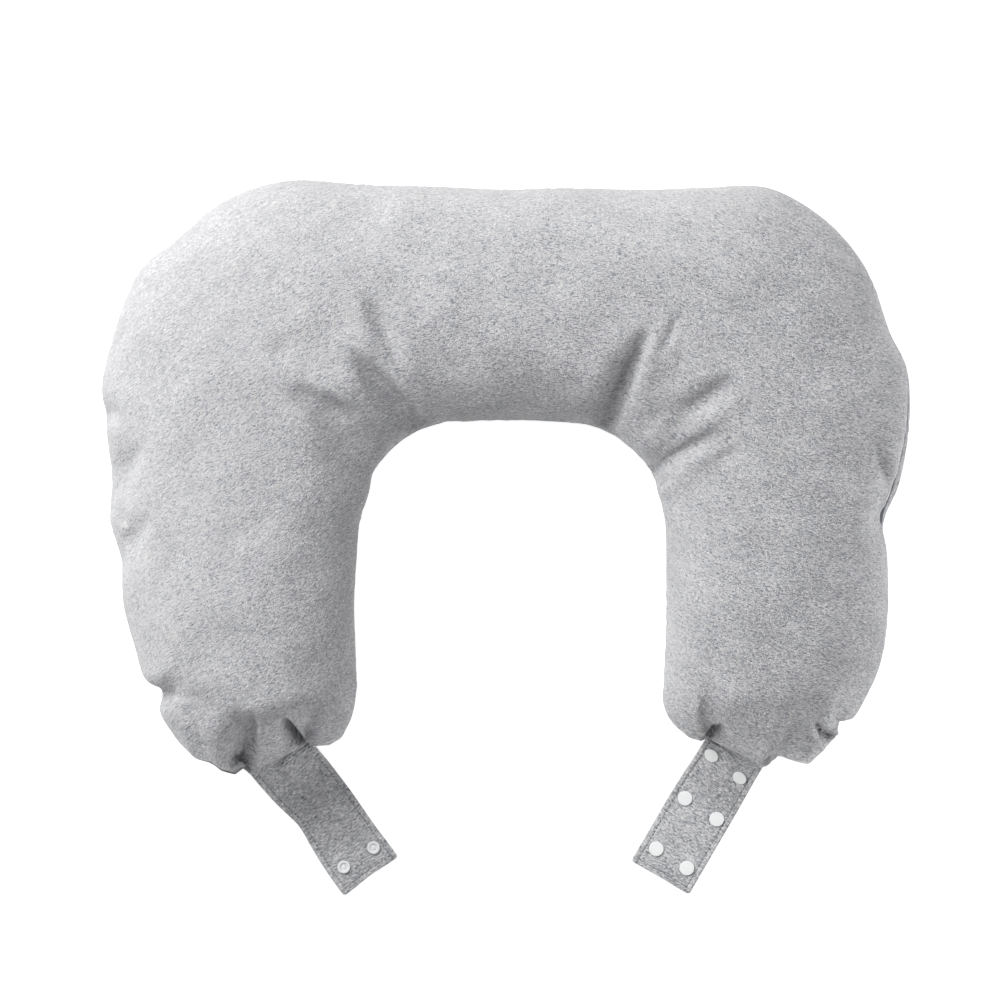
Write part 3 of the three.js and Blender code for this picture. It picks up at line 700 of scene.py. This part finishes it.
def cover_surface(stops, across, on_top):
    """The points of one panel with its fine relief, and where they lie on the flat cloth."""
    points = cover_form(stops, across, on_top)
    from_first = lengths_along(cover_form(stops, across, on_top, folded=False), axis=1)
    from_last = from_first[:, -1:] - from_first
    from_inner, from_outer = (from_first, from_last) if on_top else (from_last, from_first)
    inner_place = lengths_along(curve_through(INNER_EDGE, stops))[:, None]
    outer_place = lengths_along(curve_through(OUTER_EDGE, stops))[:, None]
    x, y = points[:, :, 0], points[:, :, 1]
    relief = gathers_at(from_inner, inner_place) + gathers_at(from_outer, outer_place)
    if on_top:
        from_end = np.full(across.shape, np.inf)
        for end in ARM_ENDS:
            behind = inside_rim(end, stops, across, points)
            from_end = np.where(on_same_arm(end, stops)[:, None], behind, from_end)
        margin = smoothstep(from_inner, 0, CREASE_MARGIN) * smoothstep(from_end, 0, CREASE_END_MARGIN)
        relief += creases_at(x, y) * margin
        relief += welts_at(stops, across, points)
        relief += waves_at(x, y) * smoothstep(np.minimum(from_inner, from_outer), 0, WAVE_MARGIN)
    flat = flat_places(stops, points, across, from_inner)
    return points + grid_normals(points) * relief[:, :, None], flat


def flat_places(stops, points, across, from_inner):
    """Where each point lies on its panel laid flat, turned so that the rows of knitting run along x."""
    inner = curve_through(INNER_EDGE, stops)[:, :2]
    outer = curve_through(OUTER_EDGE, stops)[:, :2]
    middle = np.argmin(np.abs(across - 0.5), axis=1)
    at_middle = np.take_along_axis(from_inner, middle[:, None], axis=1)
    outward = unit(outer - inner)[:, None, :]
    centre = ((inner + outer) / 2)[:, None, :]
    flat = centre + outward * (from_inner - at_middle)[:, :, None]
    offset = points[:, :, :2] - centre
    flat += offset - outward * np.sum(offset * outward, axis=2, keepdims=True)
    x = np.arange(-FLAT_REACH, FLAT_REACH + FLAT_STEP, FLAT_STEP)
    rise = np.cumsum(np.interp(x, *KNIT_SLOPES.T)) * FLAT_STEP
    flat[:, :, 1] -= np.interp(flat[:, :, 0], x, rise)
    return flat


def cover_stops():
    """Stops along the middle of the U, closer together near the arm ends."""
    fine = np.linspace(0, LAST_STOP, TRIAL_STOPS)
    middle = (curve_through(INNER_EDGE, fine) + curve_through(OUTER_EDGE, fine)) / 2
    length = lengths_along(middle)
    ends = bell(length / END_CROWD_REACH) + bell((length[-1] - length) / END_CROWD_REACH)
    count = np.cumsum(np.gradient(length) * (1 + END_CROWDING * ends))
    return np.interp(np.linspace(count[0], count[-1], RINGS), count, fine)


def across_steps(count):
    t = np.linspace(0, 1, count)
    angle = np.pi * (t - EDGE_CROWDING * np.sin(2 * np.pi * t) / (2 * np.pi))
    return (1 - np.cos(angle)) / 2


# Meshes

def add_object(name, data):
    thing = bpy.data.objects.new(name, data)
    bpy.context.scene.collection.objects.link(thing)
    return thing


def mesh_object(name, points, faces, material, flat=None):
    mesh = bpy.data.meshes.new(name)
    mesh.from_pydata((np.asarray(points) * MM).tolist(), [], faces)
    mesh.update()
    mesh.polygons.foreach_set("use_smooth", [True] * len(mesh.polygons))
    mesh.materials.append(material)
    if flat is not None:
        corners = np.zeros(len(mesh.loops), int)
        mesh.loops.foreach_get("vertex_index", corners)
        layer = mesh.uv_layers.new(name=KNIT_MAP)
        layer.data.foreach_set("uv", (flat[corners] * MM).ravel())
    return add_object(name, mesh)


def ring_faces(rings, size):
    i, k = np.meshgrid(np.arange(rings - 1), np.arange(size), indexing="ij")
    after = (k + 1) % size
    a, b = i * size + k, (i + 1) * size + k
    return np.stack([a, b, (i + 1) * size + after, i * size + after], axis=2).reshape(-1, 4)


def end_faces(first, low_steps, size, ratio):
    """Closes a ring between its top row and the coarser row below it."""
    faces = []
    for k in range(low_steps):
        top = [first + ratio * k + i for i in range(ratio + 1)]
        below = [first + size - 2 - k, first + size - 1 - k]
        faces.append(top + below)
    return faces


def swept_faces(rings, size, low_steps, ratio):
    """Faces of a form swept through rings of points, with both ends closed."""
    first_end = end_faces(0, low_steps, size, ratio)
    last_end = end_faces((rings - 1) * size, low_steps, size, ratio)
    return ring_faces(rings, size).tolist() + first_end + [face[::-1] for face in last_end]


def make_cover(material, seam_shade_material):
    stops = cover_stops()
    steps = across_steps(TOP_STEPS + 1)
    ratio = TOP_STEPS // UNDERSIDE_STEPS
    low_steps = steps[::-ratio]
    top, top_flat = cover_surface(stops, np.tile(steps, (RINGS, 1)), True)
    underside, low_flat = cover_surface(stops, np.tile(low_steps, (RINGS, 1)), False)
    rings = np.concatenate([top, underside], axis=1)
    flat = np.concatenate([top_flat, low_flat + UNDERSIDE_CLOTH], axis=1)
    size = rings.shape[1]
    faces = swept_faces(RINGS, size, UNDERSIDE_STEPS, ratio)
    cover = mesh_object("knit_cover", rings.reshape(-1, 3), faces, material, flat.reshape(-1, 2))
    # The row of faces down in the outer seam gets painted shade: a dark material that stands for the
    # shadow in the seam.
    cover.data.materials.append(seam_shade_material)
    painted_shade_faces = np.zeros(len(faces), int)
    painted_shade_faces[TOP_STEPS:(RINGS - 1) * size:size] = 1
    cover.data.polygons.foreach_set("material_index", painted_shade_faces)
    return cover


# The straps

def strap_row(strap, column, along):
    return smooth_look_up(strap["profile"][:, 0], strap["profile"][:, column], along)


def strap_points(strap, along, aside):
    """Points of a strap's middle surface. aside runs from the centre line to the outer edge."""
    away_x, away_y = strap["away"]
    height, lean, width, shift = (strap_row(strap, column, along) for column in range(1, 5))
    near_end = smoothstep(along, strap["length"] - END_DIP_REACH, strap["length"])
    run = along - strap["end_dip"] * near_end * bell(aside / END_DIP_WIDTH)
    sideways = (aside + shift) * strap["outer_side"]
    x = strap["root"][0] + away_x * run - away_y * sideways
    y = strap["root"][1] + away_y * run + away_x * sideways
    return np.stack([x, y, height + lean * aside / width], axis=-1)


def strap_up(strap, along, aside):
    step = 0.5
    ahead = strap_points(strap, along + step, aside) - strap_points(strap, along - step, aside)
    outward = strap_points(strap, along, aside + step) - strap_points(strap, along, aside - step)
    return unit(np.cross(ahead, outward)) * strap["outer_side"]


def strap_thickness(strap, along, aside, on_top):
    """Half the strap's thickness: rounded edges, a groove at the stitches, dents at the snaps."""
    half_width = strap_row(strap, 3, along) / 2
    past_side = np.abs(aside) - (half_width - STRAP_CORNER)
    past_end = along - (strap["length"] - STRAP_CORNER)
    outside = np.hypot(np.maximum(past_side, 0), np.maximum(past_end, 0))
    from_edge = STRAP_CORNER - outside - np.minimum(np.maximum(past_side, past_end), 0)
    rounding = np.clip(from_edge / STRAP_EDGE_ROUNDING, 0, 1)
    half = STRAP_THICKNESS / 2 * np.sqrt(1 - (1 - rounding) ** 2)
    half += HEM_HEIGHT * bell((from_edge - STITCH_INSET / 2) / HEM_WIDTH)
    beside = half_width - np.abs(aside) - STITCH_INSET
    before_end = strap["length"] - along - STITCH_INSET
    groove = bell(beside / GROOVE_WIDTH) * smoothstep(along, *GROOVE_START)
    end_groove = bell(before_end / GROOVE_WIDTH) * (beside > 0)
    half -= GROOVE_DEPTH * np.maximum(groove, end_groove) * rounding
    for snap_along, snap_aside in strap["snaps"]:
        radius = np.hypot(along - snap_along, aside - snap_aside)
        half -= DENT_DEPTH * (1 - smoothstep(radius, CAP_RADIUS - 1, CAP_RADIUS + DENT_REACH))
    if on_top:
        fade = 1 - smoothstep(aside, *strap["root_seam_fade"])
        for place, width, height in strap["root_seam"]:
            half += height * bell((along - place) / width) * fade
    return np.maximum(half, STRAP_EDGE_HALF)


def strap_stops(strap):
    """Stops along a strap: few in the tuck, many at the root seam, and fine ones at the corners."""
    in_tuck, at_root, along, at_corner = STRAP_STOPS
    corner_start = strap["length"] - STRAP_CORNER
    turn = np.sin(np.linspace(0, np.pi / 2, at_corner + 1))
    return np.concatenate([
        np.linspace(-STRAP_TUCK, -1, in_tuck, endpoint=False),
        np.linspace(-1, ROOT_END, at_root, endpoint=False),
        np.linspace(ROOT_END, corner_start, along, endpoint=False),
        corner_start + STRAP_CORNER * turn,
    ])


def make_strap(name, strap, material):
    stops = strap_stops(strap)
    t = np.linspace(0, 1, STRAP_STEPS + 1)
    place = 2 * (t - STRAP_CROWDING * np.sin(2 * np.pi * t) / (2 * np.pi)) - 1
    past = np.clip(stops - (strap["length"] - STRAP_CORNER), 0, STRAP_CORNER)
    half = strap_row(strap, 3, stops) / 2 - STRAP_CORNER + np.sqrt(STRAP_CORNER ** 2 - past ** 2)
    along = np.tile(stops[:, None], (1, len(place)))
    aside = half[:, None] * place * strap["outer_side"]
    middle, up = strap_points(strap, along, aside), strap_up(strap, along, aside)
    top = middle + up * strap_thickness(strap, along, aside, True)[:, :, None]
    underside = middle - up * strap_thickness(strap, along, aside, False)[:, :, None]
    rings = np.concatenate([top, underside[:, ::-1]], axis=1)
    flat = np.stack([aside, along], axis=-1)
    flat = np.concatenate([flat, flat[:, ::-1] + UNDERSIDE_CLOTH], axis=1)
    faces = swept_faces(len(stops), rings.shape[1], STRAP_STEPS, 1)
    return mesh_object(name, rings.reshape(-1, 3), faces, material, flat.reshape(-1, 2))


# The stitches of a strap

def stitch_places(strap):
    """Middle and direction of each stitch on the strap laid flat."""
    places = []
    for along in np.arange(FIRST_STITCH, strap["length"] - 1, STITCH_PITCH):
        aside = strap_row(strap, 3, along) / 2 - STITCH_INSET
        places.append((along, aside, 1, 0))
        places.append((along, -aside, 1, 0))
    at_end = strap["length"] - STITCH_INSET
    reach = strap_row(strap, 3, at_end) / 2 - STITCH_INSET - STITCH_PITCH / 2
    pitch = 2 * reach / round(2 * reach / STITCH_PITCH)
    for aside in np.arange(-reach, reach + pitch / 2, pitch):
        places.append((at_end, aside, 0, 1))
    return np.array(places)


def make_stitches(name, strap, material):
    """Short rounded lengths of thread that dip into the cloth at both ends."""
    places = stitch_places(strap)
    turn = np.arange(STITCH_SIDES) * 2 * np.pi / STITCH_SIDES
    along = places[:, 0:1] + places[:, 2:3] * STITCH_RUN * STITCH_LENGTH / 2
    aside = places[:, 1:2] + places[:, 3:4] * STITCH_RUN * STITCH_LENGTH / 2
    middle = strap_points(strap, along, aside)
    ahead = unit(np.gradient(middle, axis=1))
    radius = STITCH_RADIUS * STITCH_THICKNESS[None, :, None, None]
    points = []
    for side, on_top in ((1, True), (-1, False)):
        up = strap_up(strap, along, aside) * side
        lift = strap_thickness(strap, along, aside, on_top)
        lift = lift + STITCH_RADIUS * (2 * STITCH_THICKNESS - STITCH_SUNK)
        beside = np.cross(ahead, up)
        centre = middle + up * lift[:, :, None]
        around = np.cos(turn)[:, None] * beside[:, :, None, :] + np.sin(turn)[:, None] * up[:, :, None, :]
        points.append(centre[:, :, None, :] + around * radius)
    points = np.concatenate(points)
    stitch_size = len(STITCH_RUN) * STITCH_SIDES
    tube = ring_faces(len(STITCH_RUN), STITCH_SIDES)
    last_side = range(stitch_size - 1, stitch_size - 1 - STITCH_SIDES, -1)
    caps = [list(range(STITCH_SIDES)), list(last_side)]
    faces = []
    for i in range(len(points)):
        faces += (tube + i * stitch_size).tolist()
        faces += [[corner + i * stitch_size for corner in cap] for cap in caps]
    return mesh_object(name, points.reshape(-1, 3), faces, material)


# The snaps

def arc(centre, radius, start, end, steps=6):
    angles = np.radians(np.linspace(start, end, steps))
    return [(centre[0] + radius * math.cos(a), centre[1] + radius * math.sin(a)) for a in angles]


def cap_profile():
    top = CLOTH_FACE + CAP_HEIGHT
    rim, crown = 0.55, 0.14
    base = [(1.4, SNAP_BASE), (CAP_RADIUS - 0.5, SNAP_BASE), (CAP_RADIUS - 0.2, CLOTH_FACE + 0.2)]
    rounded = arc((CAP_RADIUS - rim, top - 0.12 - rim), rim, -35, 82)
    domed = [(r, top - crown * (r / CAP_RADIUS) ** 2) for r in (5.4, 4.5, 3.2, 1.8, 0.8)]
    return [*base, *rounded, *domed]


def socket_profile():
    top = CLOTH_FACE + SOCKET_HEIGHT
    base = [(1.7, SNAP_BASE), (SOCKET_RADIUS - 0.3, SNAP_BASE), (SOCKET_RADIUS, 1.2)]
    outer = arc((SOCKET_RADIUS - 0.5, top - 0.5), 0.5, 0, 90)
    inner = arc((3.95, top - 0.35), 0.35, 90, 180)
    bowl = [(3.5, top - 1.0), (3.4, top - 1.75), (3.1, top - 1.9), (2.0, top - 1.9)]
    post = [(1.75, top - 1.75), (1.65, top - 0.95), (1.35, top - 0.7), (0.7, top - 0.62)]
    return [*base, *outer, *inner, *bowl, *post]


def stud_profile():
    top = CLOTH_FACE + STUD_HEIGHT
    shelf = CLOTH_FACE + 0.9
    nub = 3.1
    base = [(1.4, SNAP_BASE), (STUD_RADIUS - 0.2, SNAP_BASE)]
    flange = arc((STUD_RADIUS - 0.35, shelf - 0.35), 0.35, -20, 90)
    waist = [(nub - 0.1, shelf), (nub - 0.2, shelf + 0.3), (nub, top - 0.6)]
    knob = arc((nub - 0.45, top - 0.45), 0.45, 0, 90)
    dimple = [(1.9, top), (1.6, top - 0.15), (0.9, top - 0.2)]
    return [*base, *flange, *waist, *knob, *dimple]


def make_snap(node, profile, strap, place, upside_down, material):
    """Turns a profile about its own axis and sets it on the strap."""
    rows = np.array([(0, profile[0][1]), *profile, (0, profile[-1][1])])
    angles = np.arange(SNAP_SIDES) * 2 * np.pi / SNAP_SIDES
    along, aside = np.array([place[0]]), np.array([place[1]])
    centre = strap_points(strap, along, aside)[0]
    up = strap_up(strap, along, aside)[0] * (-1 if upside_down else 1)
    right = unit(np.cross((0, 1, 0), up))
    ahead = np.cross(up, right)
    around = np.cos(angles)[:, None] * right + np.sin(angles)[:, None] * ahead
    rings = centre + rows[1:-1, None, 0:1] * around + rows[1:-1, None, 1:2] * up
    tips = centre + rows[[0, -1], 1:2] * up
    points = np.concatenate([rings.reshape(-1, 3), tips])
    count = len(rings) * SNAP_SIDES
    faces = ring_faces(len(rings), SNAP_SIDES)[:, ::-1].tolist()
    for k in range(SNAP_SIDES):
        after = (k + 1) % SNAP_SIDES
        faces.append([count, after, k])
        faces.append([count + 1, count - SNAP_SIDES + k, count - SNAP_SIDES + after])
    snap = mesh_object("snap_" + node, points, faces, material)
    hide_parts(node)
    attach(snap, "root")
    return snap


def make_snaps(material):
    """Both halves of every snap: the upper one, and the one under the strap."""
    halves = {
        "left": (("socket", socket_profile(), False), ("cap", cap_profile(), True)),
        "right": (("cap", cap_profile(), False), ("stud", stud_profile(), True)),
    }
    snaps = {}
    for side, strap in STRAPS.items():
        snaps[side] = [
            make_snap(f"{kind}_{side}_{number}", profile, strap, place, upside_down, material)
            for number, place in enumerate(strap["snaps"], 1)
            for kind, profile, upside_down in halves[side]
        ]
    return snaps


# Materials

def set_values(node, **values):
    """Sets a node's inputs and options. An input that is given another node's output is linked."""
    for key, value in values.items():
        if isinstance(value, bpy.types.NodeSocket):
            node.id_data.links.new(value, node.inputs[key])
        elif key in node.inputs:
            node.inputs[key].default_value = value
        else:
            setattr(node, key, value)
    return node


def add_node(tree, kind, **values):
    return set_values(tree.nodes.new(kind), **values)


def combine(tree, kind, operation, first, second):
    node = add_node(tree, kind, operation=operation)
    tree.links.new(first, node.inputs[0])
    tree.links.new(second, node.inputs[1])
    return node.outputs[0]


def shader_material(name, **values):
    material = bpy.data.materials.new(name)
    material.use_nodes = True
    tree = material.node_tree
    return material, tree, set_values(tree.nodes["Principled BSDF"], **values)


def over_cloth(tree, place, scale, kind, **values):
    """A 2D texture over the flat cloth, with scale patches to the metre each way."""
    mapping = add_node(tree, "ShaderNodeMapping", Vector=place, Scale=(*scale, 1))
    return add_node(tree, kind, Vector=mapping.outputs["Vector"], Scale=1.0, **values)


def wandering_rows(tree):
    """The place on the flat cloth, shifted a little so that the rows of knitting aren't straight."""
    place = add_node(tree, "ShaderNodeUVMap", uv_map=KNIT_MAP).outputs["UV"]
    detail = {"noise_dimensions": "2D", "Scale": WANDER_SCALE, "Detail": 1.0}
    noise = add_node(tree, "ShaderNodeTexNoise", Vector=place, **detail).outputs["Color"]
    shift = add_node(tree, "ShaderNodeVectorMath", operation="SCALE", Vector=noise, Scale=WANDER)
    return combine(tree, "ShaderNodeVectorMath", "ADD", place, shift.outputs["Vector"])


def yarn_cells(tree, place, scale):
    """Dashes of random length and place: one random number for each, and its rounded height."""
    cells = over_cloth(tree, place, scale, "ShaderNodeTexVoronoi", voronoi_dimensions="2D")
    channels = add_node(tree, "ShaderNodeSeparateColor", Color=cells.outputs["Color"])
    return channels.outputs["Red"], cells.outputs["Distance"]


def shade_by(tree, colour, noise, low, high):
    """Multiplies a colour by a gray that goes from low to high with the noise."""
    spans = {"From Min": NOISE_SPAN[0], "From Max": NOISE_SPAN[1], "To Min": low, "To Max": high}
    spread = add_node(tree, "ShaderNodeMapRange", Value=noise, **spans)
    return combine(tree, "ShaderNodeVectorMath", "MULTIPLY", colour, spread.outputs["Result"])


def raise_by(tree, shader, height, **values):
    """Gives the surface a fine relief that follows a height."""
    bump = add_node(tree, "ShaderNodeBump", Height=height, **values)
    set_values(shader, Normal=bump.outputs["Normal"])


def yarn_colour(tree, amount, yarns):
    """The dark, middle or light yarn for a random amount from 0 to 1."""
    dark, middle, light = yarns
    ramp = add_node(tree, "ShaderNodeValToRGB", Fac=amount)
    stops = ramp.color_ramp.elements
    stops[0].position, stops[0].color = 0.12, (*dark, 1)
    stops[1].position, stops[1].color = 0.88, (*light, 1)
    for position in (0.3, 0.7):
        stops.new(position).color = (*middle, 1)
    return ramp.outputs["Color"]


def heather_knit(name, yarns, streaking):
    """Jersey of mixed yarns: dark and light dashes along its rows, on cloth that is never even."""
    finish = {"Roughness": 0.92, "Sheen Weight": 0.12, "Sheen Roughness": 0.45, "Specular IOR Level": 0.2}
    material, tree, shader = shader_material(name, **finish)
    place = wandering_rows(tree)
    dashes, dash_dips = yarn_cells(tree, place, DASHES)
    stitches, stitch_dips = yarn_cells(tree, place, STITCHES)
    colour = shade_by(tree, yarn_colour(tree, dashes, yarns), stitches, 0.82, 1.18)
    for scale, detail, share in ((BLOTCHES, 2.0, 0.06), (STREAKS, 0.0, streaking)):
        noise = over_cloth(tree, place, scale, "ShaderNodeTexNoise", noise_dimensions="2D", Detail=detail)
        colour = shade_by(tree, colour, noise.outputs["Fac"], 1 - share, 1 + share)
    tree.links.new(colour, shader.inputs["Base Color"])
    dips = combine(tree, "ShaderNodeMath", "ADD", dash_dips, stitch_dips)
    raise_by(tree, shader, dips, Strength=1.0, Distance=KNIT_RELIEF * MM, invert=True)
    return material


def grainy_material(name, colour, scale, detail, unevenness, **values):
    """A colour that varies by a share with a fine grain, which is handed back too."""
    material, tree, shader = shader_material(name, **values)
    place = add_node(tree, "ShaderNodeTexCoord").outputs["Object"]
    grain = add_node(tree, "ShaderNodeTexNoise", Vector=place, Scale=scale, Detail=detail)
    base = add_node(tree, "ShaderNodeRGB")
    base.outputs[0].default_value = (*colour, 1)
    grained = shade_by(tree, base.outputs[0], grain.outputs["Fac"], 1 - unevenness, 1 + unevenness)
    tree.links.new(grained, shader.inputs["Base Color"])
    return material, tree, shader, grain.outputs["Fac"]


def spun(name, colour, scale, relief):
    """Thread, or the cloth down in a seam, with the grain of spun yarn. On the seam the dark colour is
    painted shade.
    """
    material, tree, shader, grain = grainy_material(name, colour, scale, 2.0, 0.25, Roughness=0.85)
    raise_by(tree, shader, grain, Strength=0.5, Distance=relief * MM)
    return material


def moulded_plastic(name, colour):
    """Glossy moulded plastic, a little uneven, with faint flow marks."""
    material, tree, shader, flow = grainy_material(name, colour, 240.0, 3.0, 0.03)
    gloss = add_node(tree, "ShaderNodeMapRange", Value=flow, **{"To Min": 0.24, "To Max": 0.4})
    set_values(shader, Roughness=gloss.outputs["Result"])
    raise_by(tree, shader, flow, Strength=0.15, Distance=0.05 * MM)
    return material


def floor_material():
    """White studio paper that is lit a little from behind, so that shadows on it stay faint."""
    finish = {"Base Color": (*FLOOR_COLOUR, 1), "Roughness": 0.9}
    glow = {"Emission Color": (1, 1, 1, 1), "Emission Strength": FLOOR_GLOW}
    return shader_material("floor_look", **finish, **glow)[0]


# Stage, light and camera

def make_camera():
    data = bpy.data.cameras.new("camera")
    data.sensor_width = SENSOR
    data.lens = SENSOR * CAMERA_HEIGHT / (PHOTO_WIDTH * PIXEL * MM)
    camera = add_object("camera", data)
    camera.location = (VIEW_CENTRE[0] * MM, VIEW_CENTRE[1] * MM, CAMERA_HEIGHT + SCALE_PLANE)
    bpy.context.scene.camera = camera


def make_light(name, place, size, power):
    data = bpy.data.lights.new(name, "AREA")
    data.size = size
    data.energy = power
    light = add_object(name, data)
    light.location = place
    light.rotation_euler = (Vector(LIGHT_AIM) - Vector(place)).to_track_quat("-Z", "Y").to_euler()


def set_response():
    """Sets the camera's curve from light to tone. Beyond its last point all is white."""
    view = bpy.context.scene.view_settings
    view.view_transform = "Standard"
    view.use_curve_mapping = True
    white = RESPONSE[-1][0]
    view.curve_mapping.white_level = (white, white, white)
    curve = view.curve_mapping.curves[3]
    for light, tone in RESPONSE[1:-1]:
        curve.points.new(light / white, tone)
    view.curve_mapping.update()


def make_world():
    world = bpy.data.worlds.new("world")
    bpy.context.scene.world = world
    world.use_nodes = True
    set_values(world.node_tree.nodes["Background"], Color=(1, 1, 1, 1), Strength=WORLD_LIGHT)


def make_floor():
    bpy.ops.mesh.primitive_plane_add(size=FLOOR_SIZE)
    floor = bpy.context.object
    floor.name = "floor"
    floor.data.materials.append(floor_material())


def make_studio():
    make_camera()
    for name, place, size, power in LIGHTS:
        make_light(name, place, size, power)
    make_world()
    set_response()
    make_floor()


def make_pillow():
    cover_knit = heather_knit("cover_knit", COVER_YARNS, COVER_STREAKING)
    strap_knit = heather_knit("strap_knit", STRAP_YARNS, STRAP_STREAKING)
    # Painted shade for the outer seam: the cover's cloth is drawn dark where its valley lies in shadow.
    seam_painted_shade = spun("seam_painted_shade", SEAM_SHADE_COLOUR, scale=900.0, relief=0.2)
    thread = spun("strap_thread", THREAD_COLOUR, scale=1500.0, relief=0.1)
    plastic = moulded_plastic("snap_white", SNAP_COLOUR)
    cover = make_cover(cover_knit, seam_painted_shade)
    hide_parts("cover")
    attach(cover, "root")
    snaps = make_snaps(plastic)
    for side, strap in STRAPS.items():
        cloth = make_strap(f"knit_strap_{side}", strap, strap_knit)
        stitches = make_stitches(f"stitches_{side}", strap, thread)
        for piece in (cloth, stitches):
            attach(piece, "root")
        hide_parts(f"strap_{side}")


make_studio()
make_pillow()
